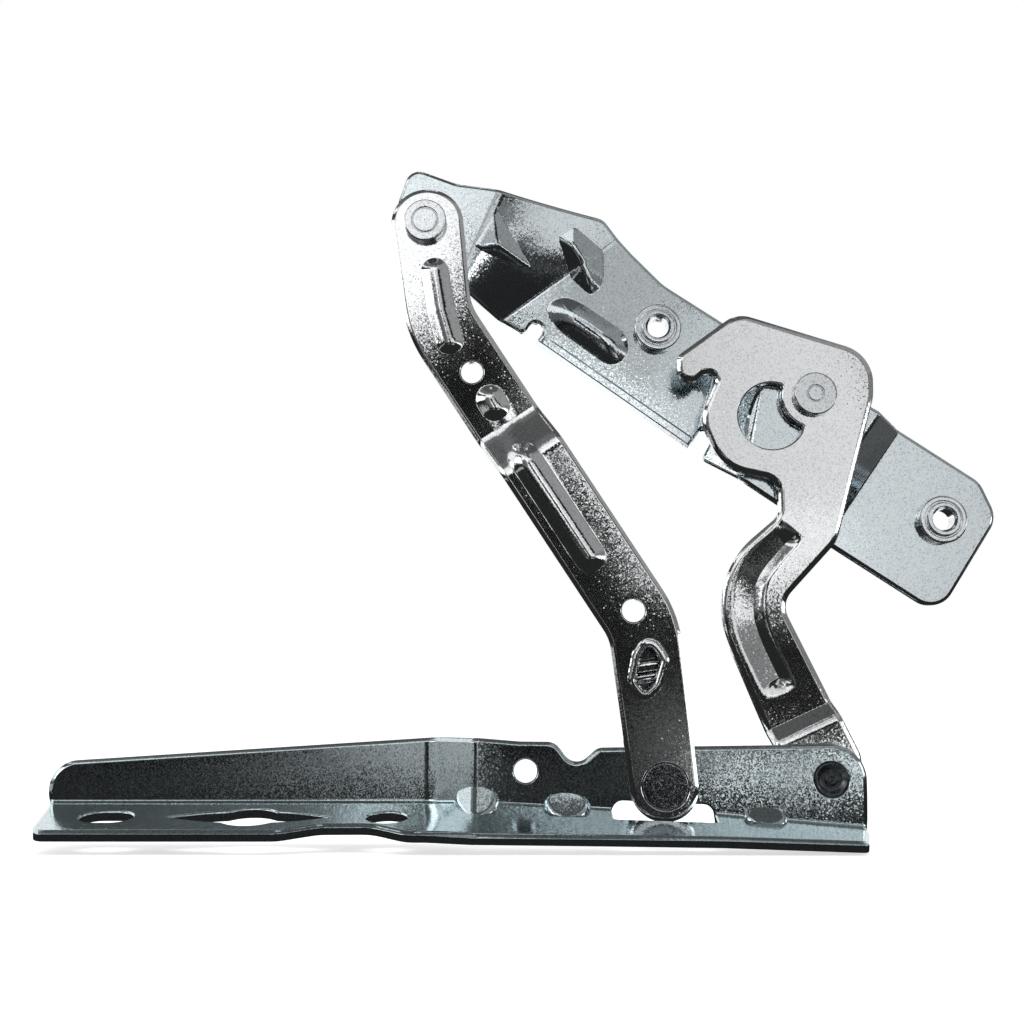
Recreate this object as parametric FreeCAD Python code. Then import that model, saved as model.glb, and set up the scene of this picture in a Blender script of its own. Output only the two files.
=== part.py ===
import os
import math
import FreeCAD
import Part
from FreeCAD import Vector

# Hood hinge for one side of a car, shown fully open. All sizes in mm.
# x runs along the car, y runs away from the eye, z is up.
# The origin is the centre of the round bolt hole in the base flange, on its top face.

# sheet thicknesses
base_thickness = 3.2
link_thickness = 4.0
hood_thickness = 3.0
washer_thickness = 1.0

# fits
running_clearance = 0.05
side_clearance = 0.1

# depth of each sheet's front face
web_front = 2.5
web_left_front = 16.0
front_link_low = web_front - washer_thickness - link_thickness
front_link_joggle = 8.0
front_link_high = front_link_low + front_link_joggle
hood_front_plane = front_link_high + link_thickness + washer_thickness
rear_link_low = web_front + base_thickness + washer_thickness
rear_link_joggle = 4.0
rear_link_high = rear_link_low + rear_link_joggle
hood_rear_plane = rear_link_high + link_thickness + washer_thickness
hood_nut_plane = 25.0

# the four pivots, x and z
front_base_pivot = (82.1, 8.9)
front_hood_pivot = (9.6, 183.4)
rear_base_pivot = (132.1, 10.6)
rear_hood_pivot = (131.8, 129.1)

# rivets, bushes and washers
rivet_shank_radius = 4.0
rivet_head_radius = rivet_shank_radius + 2.65
rivet_head_height = 3.0
rivet_tail_radius = rivet_shank_radius + 2.4
rivet_tail_height = 2.4
flush_head_radius = rivet_shank_radius + 2.8
flush_head_depth = 1.5
bush_wall = 1.25
bush_radius = rivet_shank_radius + running_clearance + bush_wall
washer_radius = rivet_shank_radius + 4.6
closing_washer_radius = rivet_shank_radius + 3.6
open_shank_radius = 3.5
open_pivot_travel = 2.4
open_bore_radius = open_shank_radius + open_pivot_travel + running_clearance
open_washer_radius = 9.6
dished_head_radius = 5.1
dish_depth = 1.2

# base bracket. A station is x, corner height and front edge height of the flange.
# A dart is x, corner height, front edge height, half width and leg.
bend_radius = 1.0
bend_top = 7.5
flange_stations = [(66.6, 1.9, -4.3), (97.5, 0.4, -4.7), (146.0, -3.8, -6.2)]
right_corner = 4.3
right_edge = -3.9
bend_darts = [(28.6, 4.1, -3.9, 5.9, 4.3), (53.2, 2.8, -4.2, 6.2, 4.0), (112.0, -0.8, -5.1, 5.9, 3.3)]
relief_left = 66.6
relief_right = 97.2
web_joggle_start = 12.0
web_joggle_end = 25.3
flange_front = -15.5
flange_left_end = -106.6
flange_right_end = 142.8
relief_front = -3.3
flange_left_slope = 0.2
bolt_hole_radius = 6.1
bolt_slot_radius = 5.9
bolt_slot_length = 15.6
bolt_slot_x = -82.8
hole_line = 0.5
locating_hole_x = -40.6
locating_hole_radius = 9.0
locating_eye_length = 48.6
locating_eye_half_width = 6.2
web_hole_centre = (40.9, 13.1)
web_hole_radius = 3.6

# links
joggle_radius = 1.6
front_link_hole_high = (24.4, 135.3)
front_link_hole_low = (73.2, 60.6)
front_link_hole_radius = 3.6
front_link_fold = (27.5, 112.5)
rear_link_fold = (115.2, 25.0)
bead_height = 2.0
window_centre = (118.5, 122.5)
window_radius = 10.6
window_inner_radius = 10.2

# hood bracket
nut_front_centre = (84.2, 153.9)
nut_rear_centre = (174.3, 91.1)
nut_collar_radius = 7.6
nut_boss_radius = 5.4
nut_spigot_radius = 5.6
nut_bore_radius = 3.4
nut_collar_height = 3.9
nut_height = 5.0
lip_height = 6.0
lip_line = ((46.7, 151.4), (95.0, 117.0))
slope_start = ((40.4, 215.0), (14.4, 153.0))
slope_end = ((100.0, 204.4), (15.0, 145.5))


def unit(dx, dy):
    length = math.hypot(dx, dy)
    return dx / length, dy / length


def rounded_edges(corners, place):
    """Lines and arcs round a list of (u, v, radius) corners, put in space by place(u, v)."""
    count = len(corners)
    arcs = []
    for i in range(count):
        u, v, r = corners[i]
        pu, pv, pr = corners[i - 1]
        nu, nv, nr = corners[(i + 1) % count]
        ax, ay = unit(pu - u, pv - v)
        bx, by = unit(nu - u, nv - v)
        half = 0.5 * math.acos(max(-1.0, min(1.0, ax * bx + ay * by)))
        if r <= 0 or half > 1.565:
            arcs.append([(u, v)])
            continue
        reach = r / math.tan(half)
        mx, my = unit(ax + bx, ay + by)
        far = r / math.sin(half) - r
        start = (u + ax * reach, v + ay * reach)
        middle = (u + mx * far, v + my * far)
        end = (u + bx * reach, v + by * reach)
        arcs.append([start, middle, end])
    edges = []
    for i in range(count):
        this = arcs[i]
        after = arcs[(i + 1) % count]
        if len(this) == 3:
            points = [place(*p) for p in this]
            edges.append(Part.Arc(points[0], points[1], points[2]).toShape())
        a = place(*this[-1])
        b = place(*after[0])
        if a.distanceToPoint(b) > 1e-4:
            edges.append(Part.makeLine(a, b))
    return edges


def rounded_face(corners, place):
    return Part.Face(Part.Wire(rounded_edges(corners, place)))


def side_prism(corners, y_from, y_to):
    """An outline in x and z, given depth in y."""
    face = rounded_face(corners, lambda u, v: Vector(u, y_from, v))
    return face.extrude(Vector(0, y_to - y_from, 0))


def plan_prism(corners, z_from, z_to):
    """An outline in x and y, given height in z."""
    face = rounded_face(corners, lambda u, v: Vector(u, v, z_from))
    return face.extrude(Vector(0, 0, z_to - z_from))


def disc(centre, radius, y_from, y_to):
    return Part.makeCylinder(radius, y_to - y_from, Vector(centre[0], y_from, centre[1]), Vector(0, 1, 0))


def ring(centre, outer, inner, y_from, y_to):
    return disc(centre, outer, y_from, y_to).cut(disc(centre, inner, y_from - 1, y_to + 1))


def joggled_sheet(start, along, fold_at, y_pair, thickness, reach):
    """A sheet with one joggle. fold_at gives both folds, measured along the sheet from start."""
    s0, s1 = fold_at
    y0, y1 = y_pair
    turn = math.atan2(y0 - y1, s1 - s0)
    shift = thickness * math.tan(0.5 * turn)
    inner = joggle_radius
    outer = inner + thickness
    corners = [(-reach, y0, 0), (s0, y0, inner), (s1, y1, outer), (reach, y1, 0)]
    corners += [(reach, y1 + thickness, 0), (s1 + shift, y1 + thickness, inner)]
    corners += [(s0 + shift, y0 + thickness, outer), (-reach, y0 + thickness, 0)]
    ax, az = unit(along[0], along[1])
    place = lambda s, y: Vector(start[0] + ax * s + az * reach, y, start[1] + az * s - ax * reach)
    face = rounded_face(corners, place)
    return face.extrude(Vector(-az * 2 * reach, 0, ax * 2 * reach))


def capsule_chain(points, y, radius):
    """Balls and bars along a path of x and z points."""
    solid = Part.makeSphere(radius, Vector(points[0][0], y, points[0][1]))
    for i in range(len(points) - 1):
        a = Vector(points[i][0], y, points[i][1])
        b = Vector(points[i + 1][0], y, points[i + 1][1])
        bar = Part.makeCylinder(radius, a.distanceToPoint(b), a, b.sub(a))
        ball = Part.makeSphere(radius, b)
        solid = solid.fuse([bar, ball])
    return solid


def press_bead(sheet, points, front, thickness, height, radius, toward_eye):
    """Raises a rounded bead on one face of a sheet and hollows the other."""
    side = -1.0 if toward_eye else 1.0
    far_face = front if toward_eye else front + thickness
    near_face = front + thickness if toward_eye else front
    axis = near_face + side * (height - radius)
    bump = capsule_chain(points, axis, radius + thickness)
    low = min(far_face, far_face + side * (height + 1.0))
    slab = Part.makeBox(600, height + 1.0, 600, Vector(-300, low, -300))
    bump = bump.common(slab)
    hollow = capsule_chain(points, axis, radius)
    return sheet.fuse(bump).cut(hollow)


def base_section(x, front, corner_z, edge_z, depth):
    """An L section across the base bracket at one place along it. depth is the web's, square to x."""
    slope = (corner_z - edge_z) / (front - flange_front)
    steep = base_thickness * math.sqrt(1 + slope * slope)
    out = flange_front - 6.0
    out_z = corner_z - slope * (front - out)
    top = 32.0
    corners = [(out, out_z, 0), (front, corner_z, bend_radius), (front, top, 0)]
    corners += [(front + depth, top, 0)]
    corners += [(front + depth, corner_z + slope * depth - steep, bend_radius + base_thickness)]
    corners += [(out, out_z - steep, 0)]
    return Part.Wire(rounded_edges(corners, lambda u, v: Vector(x, u, v)))


def web_outline():
    """The bracket seen from the front: web, notch and rounded rear corner."""
    corners = [(-105.4, -20, 0), (-105.4, 15.2, 9), (14.7, 22.8, 30), (27.0, 22.8, 8), (39.3, 21.8, 6)]
    corners += [(49.8, 21.7, 5), (55.6, 14.0, 4.2), (62.6, 20.0, 4), (131.0, 20.9, 20)]
    corners += [(142.7, 21.0, 10.5), (142.7, 6.0, 20), (142.0, -20, 0)]
    return corners


def flange_outline():
    """The bracket seen from above: straight front edge with one shallow recess."""
    corners = [(flange_left_end + 0.2, 25, 0), (-101.6, -8.0, 6), (-99.6, -14.5, 3.5), (-30.0, -14.5, 9)]
    corners += [(-19.0, -7.8, 9), (-4.0, -7.6, 9), (6.5, flange_front, 9)]
    corners += [(flange_right_end - 4.5, flange_front, 2), (flange_right_end, web_front, 8)]
    corners += [(flange_right_end, 25, 0)]
    return corners


def across_flange(x, y):
    """A direction square to the sloping flange and a point on its top."""
    z = flange_left_slope * y
    return Vector(x, y, z), Vector(0, -flange_left_slope, 1)


def flange_hole(x, y, radius):
    point, square = across_flange(x, y)
    square.normalize()
    return Part.makeCylinder(radius, 20, point.sub(square.multiply(10)), square)


def flange_slot(x, y, radius, length):
    half = 0.5 * length - radius
    left = flange_hole(x - half, y, radius)
    right = flange_hole(x + half, y, radius)
    point, square = across_flange(x, y)
    bar = Part.makeBox(2 * half, 2 * radius, 20, Vector(-half, -radius, -10))
    bar.rotate(Vector(0, 0, 0), Vector(1, 0, 0), math.degrees(math.atan(flange_left_slope)))
    bar.translate(point)
    return left.fuse([right, bar])


def locating_eye(x, y):
    """The large hole with two long pointed ends."""
    half = 0.5 * locating_eye_length
    rise = locating_eye_half_width
    bow = (half * half + rise * rise) / (2 * rise)
    low = flange_hole(x, y - bow + rise, bow)
    high = flange_hole(x, y + bow - rise, bow)
    return low.common(high).fuse(flange_hole(x, y, locating_hole_radius))


def bend_dart(x, corner_z, edge_z, half_width, leg):
    """A small rounded stiffener across the bend between flange and web, as wide as given at the bend."""
    slope = (corner_z - edge_z) / (web_front - flange_front)
    top = Vector(x, web_front, corner_z + leg)
    foot = Vector(x, web_front - leg, corner_z - slope * leg)
    corner = Vector(x, web_front, corner_z)
    lean = top.sub(foot)
    lean.normalize()
    inward = Vector(0, lean.z, -lean.y)
    rise = corner.sub(foot).dot(inward)
    radius = (half_width * half_width + rise * rise) / (2 * rise)
    axis_at = corner.add(Vector(inward).multiply(radius - rise))
    start = axis_at.sub(Vector(lean).multiply(16))
    bar = Part.makeCylinder(radius, 32, start, lean)
    half_sheet = 0.5 * base_thickness
    low = foot.z - half_sheet
    room = Part.makeBox(40, 18, 30, Vector(x - 20, web_front + half_sheet - 18, low))
    return bar.common(room)


def base_stations():
    """Sections along the bracket: place, web front, corner height, front edge height and web depth."""
    run = web_joggle_end - web_joggle_start
    slope = (web_left_front - web_front) / run
    turn = math.atan(slope)
    lag = base_thickness * math.tan(0.5 * turn)
    slant_depth = base_thickness / math.cos(turn)
    left_corner = flange_left_slope * web_left_front
    left_edge = flange_left_slope * flange_front
    share = lag / run
    lag_corner = left_corner + share * (right_corner - left_corner)
    lag_edge = left_edge + share * (right_edge - left_edge)
    stations = [(-112, web_left_front, left_corner, left_edge, base_thickness)]
    stations += [(web_joggle_start, web_left_front, left_corner, left_edge, base_thickness)]
    stations += [(web_joggle_start + lag, web_left_front - lag * slope, lag_corner, lag_edge, slant_depth)]
    stations += [(web_joggle_end, web_front, right_corner, right_edge, slant_depth)]
    after_joggle = (web_joggle_end + lag, 4.2, right_edge)
    for x, corner, edge in [after_joggle] + flange_stations:
        stations += [(x, web_front, corner, edge, base_thickness)]
    return stations


def make_base_bracket():
    angle = Part.makeLoft([base_section(*s) for s in base_stations()], True, True)
    fold_at = (web_joggle_start, web_joggle_end)
    web = joggled_sheet((0, 10), (1, 0), fold_at, (web_left_front, web_front), base_thickness, 160)
    above_bend = Part.makeBox(400, 80, 24, Vector(-200, -30, bend_top))
    sheet = angle.cut(above_bend).fuse(web.common(above_bend))
    for dart in bend_darts:
        sheet = sheet.fuse(bend_dart(*dart))
    sheet = sheet.common(side_prism(web_outline(), -40, 40))
    sheet = sheet.common(plan_prism(flange_outline(), -30, 40))
    return cut_base_openings(sheet)


def cut_base_openings(sheet):
    relief = [(relief_left, 4.6, 3), (relief_left, -20, 0), (relief_right, -20, 0), (relief_right, 3.2, 3)]
    sheet = sheet.cut(side_prism(relief, relief_front, 12))
    sheet = sheet.cut(disc(web_hole_centre, web_hole_radius, -5, 12))
    sheet = sheet.cut(disc(front_base_pivot, rivet_shank_radius, -5, 12))
    sheet = sheet.cut(disc(rear_base_pivot, dished_head_radius, -5, 12))
    sheet = sheet.cut(flange_hole(0, 0, bolt_hole_radius))
    sheet = sheet.cut(flange_slot(bolt_slot_x, hole_line, bolt_slot_radius, bolt_slot_length))
    sheet = sheet.cut(locating_eye(locating_hole_x, hole_line))
    return sheet.removeSplitter()


def front_link_outline():
    corners = [(-3.0, 194.6, 11.2), (3.85, 147.4, 44), (66.0, 52.0, 14), (73.0, -1.5, 9.9)]
    corners += [(92.9, -1.5, 9.9), (86.8, 59.6, 38), (23.9, 157.0, 18), (20.5, 194.6, 11.2)]
    return corners


def make_front_link():
    depths = (front_link_high, front_link_low)
    sheet = joggled_sheet(front_link_fold, (0.55, -0.835), (0.0, 12.0), depths, link_thickness, 130)
    sheet = sheet.common(side_prism(front_link_outline(), -30, 40))
    upper_bead = [(12.6, 167.6), (14.6, 155.0), (17.4, 145.2)]
    sheet = press_bead(sheet, upper_bead, front_link_high, link_thickness, bead_height, 2.6, True)
    lower_bead = [(40.5, 107.0), (60.2, 76.8)]
    sheet = press_bead(sheet, lower_bead, front_link_low, link_thickness, bead_height, 3.0, True)
    dome = [(30.2, 126.7), (31.6, 124.3)]
    sheet = press_bead(sheet, dome, front_link_high, link_thickness, bead_height, 2.8, True)
    for centre in (front_link_hole_high, front_link_hole_low):
        sheet = sheet.cut(disc(centre, front_link_hole_radius, -20, 30))
    sheet = sheet.cut(disc(front_hood_pivot, bush_radius, -20, 30))
    sheet = sheet.cut(disc(front_base_pivot, bush_radius, -20, 30))
    head_room = flush_head_radius + running_clearance
    seat = front_link_low + flush_head_depth + side_clearance
    sheet = sheet.cut(disc(front_base_pivot, head_room, front_link_low - 5, seat))
    return add_lanced_slot(sheet).removeSplitter()


def add_lanced_slot(sheet):
    """A slanted slot with a bridge across it that is pushed back."""
    low = (75.4, 38.4)
    high = (78.2, 49.4)
    slot = capsule_prism(low, high, 3.1, -20, 30)
    sheet = sheet.cut(slot)
    bar = [(71.0, 43.0, 0), (71.6, 46.4, 0), (82.6, 44.6, 0), (82.0, 41.2, 0)]
    bridge = side_prism(bar, front_link_low + 1.2, front_link_low + link_thickness)
    return sheet.fuse(bridge.common(capsule_prism(low, high, 3.4, -20, 30)))


def capsule_prism(a, b, radius, y_from, y_to):
    ux, uz = unit(b[0] - a[0], b[1] - a[1])
    corners = []
    for at, sign in ((a, -1), (b, 1)):
        ex = at[0] + sign * ux * radius
        ez = at[1] + sign * uz * radius
        corners.append((ex - sign * uz * radius, ez + sign * ux * radius, radius * 0.999))
        corners.append((ex + sign * uz * radius, ez - sign * ux * radius, radius * 0.999))
    ordered = [corners[0], corners[1], corners[2], corners[3]]
    return side_prism(ordered, y_from, y_to)


def rear_link_outline():
    """Hooked head, narrow curved neck and straight foot."""
    corners = [(89.0, 141.8, 3.0), (108.2, 155.8, 9), (150.9, 142.4, 12), (150.6, 128.6, 14)]
    corners += [(137.8, 82.9, 11), (120.0, 63.7, 7), (142.2, 17.6, 6), (143.0, 3.0, 8), (124.6, -0.4, 8)]
    corners += [(95.7, 70.6, 29), (120.1, 91.2, 6), (120.1, 102.2, 5.5), (102.6, 106.0, 14)]
    corners += [(96.0, 122.0, 11), (102.8, 137.3, 2.4), (97.3, 136.0, 1.6), (94.6, 133.8, 1.6)]
    corners += [(89.3, 133.8, 3.8)]
    return corners


def make_rear_link():
    depths = (rear_link_high, rear_link_low)
    sheet = joggled_sheet(rear_link_fold, (0.416, -0.909), (0.0, 4.4), depths, link_thickness, 170)
    sheet = sheet.common(side_prism(rear_link_outline(), -30, 40))
    neck = [(121.6, 83.4), (115.0, 76.6), (110.6, 70.0), (109.4, 61.5), (111.4, 53.0), (117.6, 40.2)]
    sheet = press_bead(sheet, neck, rear_link_high, link_thickness, bead_height, 3.4, False)
    window = disc(window_centre, window_radius, -20, 40)
    window = window.cut(disc(rear_hood_pivot, window_inner_radius, -25, 45))
    sheet = sheet.cut(window)
    sheet = sheet.cut(disc(rear_hood_pivot, bush_radius, -20, 40))
    sheet = sheet.cut(disc(rear_base_pivot, open_bore_radius, -20, 40))
    return sheet.removeSplitter()


def fold_section(a, b, y, shift):
    """The cut through the hood bracket along one fold line. The back edge is shifted sideways."""
    ux, uz = unit(b[0] - a[0], b[1] - a[1])
    sx = uz * shift
    sz = -ux * shift
    back = y + hood_thickness
    points = [Vector(a[0], y, a[1]), Vector(b[0], y, b[1])]
    points += [Vector(b[0] + sx, back, b[1] + sz), Vector(a[0] + sx, back, a[1] + sz)]
    edges = [Part.makeLine(points[i], points[(i + 1) % 4]) for i in range(4)]
    return Part.Wire(edges)


def hood_outline():
    corners = [(-0.6, 176.8, 8), (0.4, 192.0, 12), (4.4, 203.8, 4.5), (19.0, 198.2, 14), (32.0, 196.4, 10)]
    corners += [(66.6, 190.6, 5), (76.0, 179.8, 12), (86.5, 169.0, 20), (151.8, 125.9, 6)]
    corners += [(161.0, 121.2, 9), (187.5, 103.6, 8), (192.6, 92.0, 8), (172.6, 60.9, 8)]
    corners += [(141.0, 81.6, 10), (117.0, 97.6, 10), (98.0, 110.6, 1.8), (103.0, 119.4, 2.2)]
    corners += [(98.0, 121.0, 1.2), (95.4, 116.8, 0.3), (46.5, 151.6, 0.3), (49.4, 166.5, 2.4)]
    corners += [(40.7, 152.4, 2.2)]
    return corners


def closed_solid(faces):
    """A solid from faces that meet along their edges."""
    shell = Part.makeShell(faces)
    shell.sewShape()
    return Part.makeSolid(shell)


def with_true_planes(solid):
    """The same solid, with a plane for each face that lies at one depth."""
    faces = []
    for face in solid.Faces:
        spots = [v.Point for v in face.OuterWire.OrderedVertexes]
        depths = [p.y for p in spots]
        if max(depths) - min(depths) < 1e-6:
            face = Part.Face(Part.makePolygon(spots + [spots[0]]))
        faces.append(face)
    return closed_solid(faces)


def hood_sheet():
    """Five planes joined by folds: front pivot, slope, front nut, rear pivot, rear nut."""
    front = hood_front_plane
    nut = hood_nut_plane
    rear = hood_rear_plane
    sections = [fold_section((-40, 240), (-60, 100), front, 0)]
    sections += [fold_section(slope_start[0], slope_start[1], front, -0.9)]
    sections += [fold_section(slope_end[0], slope_end[1], nut, -0.9)]
    sections += [fold_section((112.9, 172.0), (90.4, 91.2), nut, 0.9)]
    sections += [fold_section((124.4, 168.0), (106.6, 88.0), rear, 0.9)]
    sections += [fold_section((169.7, 149.5), (116.8, 73.8), rear, -1.3)]
    sections += [fold_section((177.2, 144.2), (124.3, 68.5), nut, -1.3)]
    sections += [fold_section((240.0, 100.0), (180.0, 20.0), nut, 0)]
    return with_true_planes(Part.makeLoft(sections, True, True))


def beyond(line, x, z):
    """How far a point lies to the lower right of a fold line."""
    ux, uz = unit(line[0][0] - line[1][0], line[0][1] - line[1][1])
    return (x - line[1][0]) * uz - (z - line[1][1]) * ux


def slope_front(x, z):
    """The depth of the sloping plane's front face."""
    past = beyond(slope_start, x, z)
    left = -beyond(slope_end, x, z)
    share = max(0.0, min(1.0, past / (past + left)))
    return hood_front_plane + share * (hood_nut_plane - hood_front_plane)


def ridge_solid(foot, crest):
    """A solid with a flat foot of four corners and a crest of two points, each (x, y, z)."""
    a, b, c, d = [Vector(*p) for p in foot]
    p, q = [Vector(*r) for r in crest]
    loops = [(a, b, q), (a, q, p), (c, d, p), (c, p, q), (b, c, q), (d, a, p), (a, b, c), (a, c, d)]
    faces = [Part.Face(Part.makePolygon(list(loop) + [loop[0]])) for loop in loops]
    return closed_solid(faces)


def press_ridge(sheet, foot, crest, height):
    """Presses a ridge with flat flanks toward the eye. foot and crest are x and z points."""
    sink = 0.6
    front = [(x, slope_front(x, z) + sink, z) for x, z in foot]
    top = [(x, slope_front(x, z) - height, z) for x, z in crest]
    raised = ridge_solid(front, top)
    hollow = raised.copy()
    hollow.translate(Vector(0, hood_thickness + sink, 0))
    return sheet.fuse(raised).cut(hollow)


def make_hood_bracket():
    sheet = hood_sheet()
    dart_foot = [(67.0, 182.0), (66.0, 166.0), (58.0, 168.6), (52.5, 187.6)]
    sheet = press_ridge(sheet, dart_foot, [(58.0, 180.5), (62.8, 169.8)], 3.4)
    facet_foot = [(31.1, 190.5), (43.4, 172.6), (34.0, 174.6), (24.8, 177.2)]
    sheet = press_ridge(sheet, facet_foot, [(33.0, 178.2), (33.6, 177.6)], 2.8)
    bead_foot = [(50.4, 166.2), (77.0, 149.6), (71.8, 139.8), (47.4, 157.2)]
    sheet = press_ridge(sheet, bead_foot, [(54.6, 159.6), (70.4, 147.8)], 3.2)
    sheet = sheet.common(side_prism(hood_outline(), -10, 60))
    sheet = sheet.fuse(make_lip())
    sheet = sheet.cut(disc(front_hood_pivot, rivet_shank_radius, 0, 60))
    sheet = sheet.cut(disc(rear_hood_pivot, rivet_shank_radius, 0, 60))
    sheet = sheet.cut(disc(nut_front_centre, nut_spigot_radius, 0, 60))
    sheet = sheet.cut(disc(nut_rear_centre, nut_spigot_radius, 0, 60))
    return sheet.removeSplitter()


def make_lip():
    """The lower edge turned up toward the eye, with a rounded outer bend."""
    a, b = lip_line
    ux, uz = unit(b[0] - a[0], b[1] - a[1])
    length = math.hypot(b[0] - a[0], b[1] - a[1])
    back = hood_nut_plane + hood_thickness
    front = hood_nut_plane - lip_height
    corners = [(-0.6, back, 0), (hood_thickness, back, hood_thickness + 0.4), (hood_thickness, front, 0)]
    corners += [(0, front, 0), (0, hood_nut_plane + 0.5, 0), (-0.6, hood_nut_plane + 0.5, 0)]
    place = lambda s, y: Vector(a[0] + uz * s, y, a[1] - ux * s)
    face = rounded_face(corners, place)
    return face.extrude(Vector(ux * length, 0, uz * length))


def make_rivet(centre, head_radius, head_front, sheet_front, back_face):
    """A headed pin. The far end is spread over the closing washer."""
    head = disc(centre, head_radius, head_front, sheet_front)
    head = head.makeChamfer(0.4, [head.Edges[i] for i in (0, 2)])
    shank = disc(centre, rivet_shank_radius, sheet_front, back_face)
    tail = disc(centre, rivet_tail_radius, back_face, back_face + rivet_tail_height)
    return head.fuse([shank, tail]).removeSplitter()


def make_proud_rivet(centre, link_front, back_face, ring_radius):
    front = link_front - side_clearance - rivet_head_height
    solid = make_rivet(centre, rivet_head_radius, front, link_front - side_clearance, back_face)
    mark = ring(centre, ring_radius, ring_radius - 0.6, front - 1, front + 0.3)
    return solid.cut(mark)


def make_flush_rivet(centre, link_front, back_face):
    seat = link_front + flush_head_depth
    solid = make_rivet(centre, flush_head_radius, link_front, seat, back_face)
    mark = ring(centre, 3.6, 3.0, link_front - 1, link_front + 0.3)
    return solid.cut(mark)


def make_dished_rivet(centre, back_face):
    """The rear base rivet: its front end is pressed flush into the web and dished."""
    head = disc(centre, dished_head_radius, web_front, web_front + base_thickness)
    dish = Part.makeCone(4.3, 3.0, dish_depth, Vector(centre[0], web_front, centre[1]), Vector(0, 1, 0))
    pip = disc(centre, 1.7, web_front + 0.5, web_front + dish_depth + 0.4)
    head = head.cut(dish).fuse(pip)
    shank = disc(centre, open_shank_radius, web_front + dish_depth, back_face)
    tail = disc(centre, rivet_tail_radius, back_face, back_face + rivet_tail_height)
    return head.fuse([shank, tail]).removeSplitter()


def make_bush(centre, y_from, y_to):
    return ring(centre, bush_radius, rivet_shank_radius + running_clearance, y_from, y_to)


def make_nut(centre):
    """A clinch nut: spigot through the sheet, collar and boss on the front."""
    back = hood_nut_plane + hood_thickness
    collar = disc(centre, nut_collar_radius, hood_nut_plane - nut_collar_height, hood_nut_plane)
    boss = disc(centre, nut_boss_radius, hood_nut_plane - nut_height, hood_nut_plane)
    spigot = disc(centre, nut_spigot_radius, hood_nut_plane, back)
    solid = collar.fuse([boss, spigot]).cut(disc(centre, nut_bore_radius, 0, 60))
    mouth = Part.makeCone(nut_bore_radius + 0.9, nut_bore_radius, 0.9,
                          Vector(centre[0], hood_nut_plane - nut_height, centre[1]), Vector(0, 1, 0))
    return solid.cut(mouth).removeSplitter()


def make_spacer(centre, y_from, y_to):
    return ring(centre, washer_radius, rivet_shank_radius, y_from, y_to)


def make_closing_washer(centre, y_from):
    return ring(centre, closing_washer_radius, rivet_shank_radius, y_from, y_from + washer_thickness)


def make_open_washer(y_from, y_to):
    return ring(rear_base_pivot, open_washer_radius, open_shank_radius, y_from, y_to)


def front_base_joint(parts):
    """The link's low end runs in front of the web on a flush rivet."""
    link_back = front_link_low + link_thickness
    web_back = web_front + base_thickness
    seat = front_link_low + flush_head_depth + side_clearance
    tail_seat = web_back + washer_thickness
    parts["rivet_front_base"] = make_flush_rivet(front_base_pivot, front_link_low, tail_seat)
    parts["bush_front_base"] = make_bush(front_base_pivot, seat, link_back)
    parts["spacer_front_base"] = make_spacer(front_base_pivot, link_back + side_clearance, web_front)
    parts["washer_front_base"] = make_closing_washer(front_base_pivot, web_back)


def front_hood_joint(parts):
    link_back = front_link_high + link_thickness
    sheet_back = hood_front_plane + hood_thickness
    tail_seat = sheet_back + washer_thickness
    parts["rivet_front_hood"] = make_proud_rivet(front_hood_pivot, front_link_high, tail_seat, 4.3)
    parts["bush_front_hood"] = make_bush(front_hood_pivot, front_link_high, link_back)
    parts["spacer_front_hood"] = make_spacer(front_hood_pivot, link_back + side_clearance, hood_front_plane)
    parts["washer_front_hood"] = make_closing_washer(front_hood_pivot, sheet_back)


def rear_hood_joint(parts):
    link_back = rear_link_high + link_thickness
    sheet_back = hood_rear_plane + hood_thickness
    tail_seat = sheet_back + washer_thickness
    parts["rivet_rear_hood"] = make_proud_rivet(rear_hood_pivot, rear_link_high, tail_seat, 2.8)
    parts["bush_rear_hood"] = make_bush(rear_hood_pivot, rear_link_high, link_back)
    parts["spacer_rear_hood"] = make_spacer(rear_hood_pivot, link_back + side_clearance, hood_rear_plane)
    parts["washer_rear_hood"] = make_closing_washer(rear_hood_pivot, sheet_back)


def rear_base_joint(parts):
    """The open pivot: the link's wide bore hangs round a thin shank between two large washers."""
    web_back = web_front + base_thickness
    washer_front = rear_link_low + link_thickness + side_clearance
    washer_back = washer_front + washer_thickness
    parts["rivet_rear_base"] = make_dished_rivet(rear_base_pivot, washer_back)
    parts["spacer_rear_base"] = make_open_washer(web_back, rear_link_low - side_clearance)
    parts["washer_rear_base"] = make_open_washer(washer_front, washer_back)


def make_all():
    parts = {}
    parts["base_bracket"] = make_base_bracket()
    parts["front_link"] = make_front_link()
    parts["rear_link"] = make_rear_link()
    parts["hood_bracket"] = make_hood_bracket()
    front_base_joint(parts)
    front_hood_joint(parts)
    rear_hood_joint(parts)
    rear_base_joint(parts)
    parts["hood_nut_front"] = make_nut(nut_front_centre)
    parts["hood_nut_rear"] = make_nut(nut_rear_centre)
    return parts


os.makedirs("parts", exist_ok=True)
for name, shape in make_all().items():
    shape.exportStep("parts/" + name + ".step")
    print(name, "solids", len(shape.Solids), "valid", shape.isValid(), "volume %.0f" % shape.Volume)
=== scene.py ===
import math
import bpy
import numpy as np
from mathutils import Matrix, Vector
from mathutils.geometry import delaunay_2d_cdt


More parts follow.
